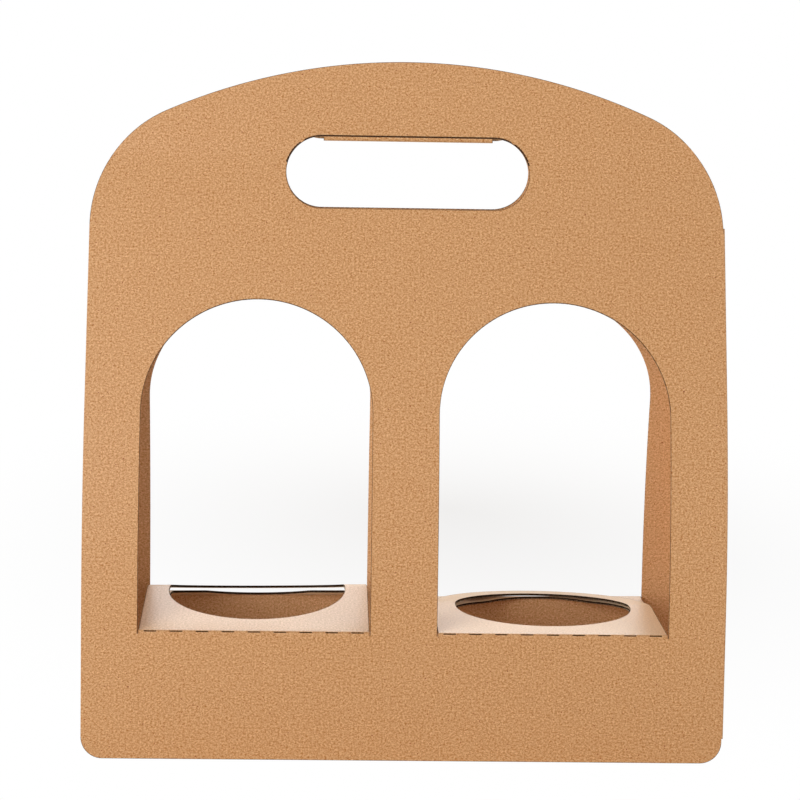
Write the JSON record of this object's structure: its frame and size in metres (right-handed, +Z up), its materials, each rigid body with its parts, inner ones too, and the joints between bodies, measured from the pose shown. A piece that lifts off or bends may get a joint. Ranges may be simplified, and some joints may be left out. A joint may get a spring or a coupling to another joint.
{
  "type": "cardboard cup carrier",
  "caption": "Folded fluted-board carrier for takeaway cups: leaning front and back panels, arched windows, round cup holes in a shelf, and a hand slot above.",
  "frame": {"origin": "middle of the footprint, on the floor", "axes": "+X runs along the carrier to the right as seen from the front, +Y from the front panel to the back panel, +Z up through the hand slot"},
  "size_m": [0.2998, 0.1138, 0.3239],
  "materials": {
    "board": "matt brown kraft paper with fine fibres over thin flutes"
  },
  "bodies": {
    "root": {"cup_carrier": "board"}
  },
  "joints": []
}
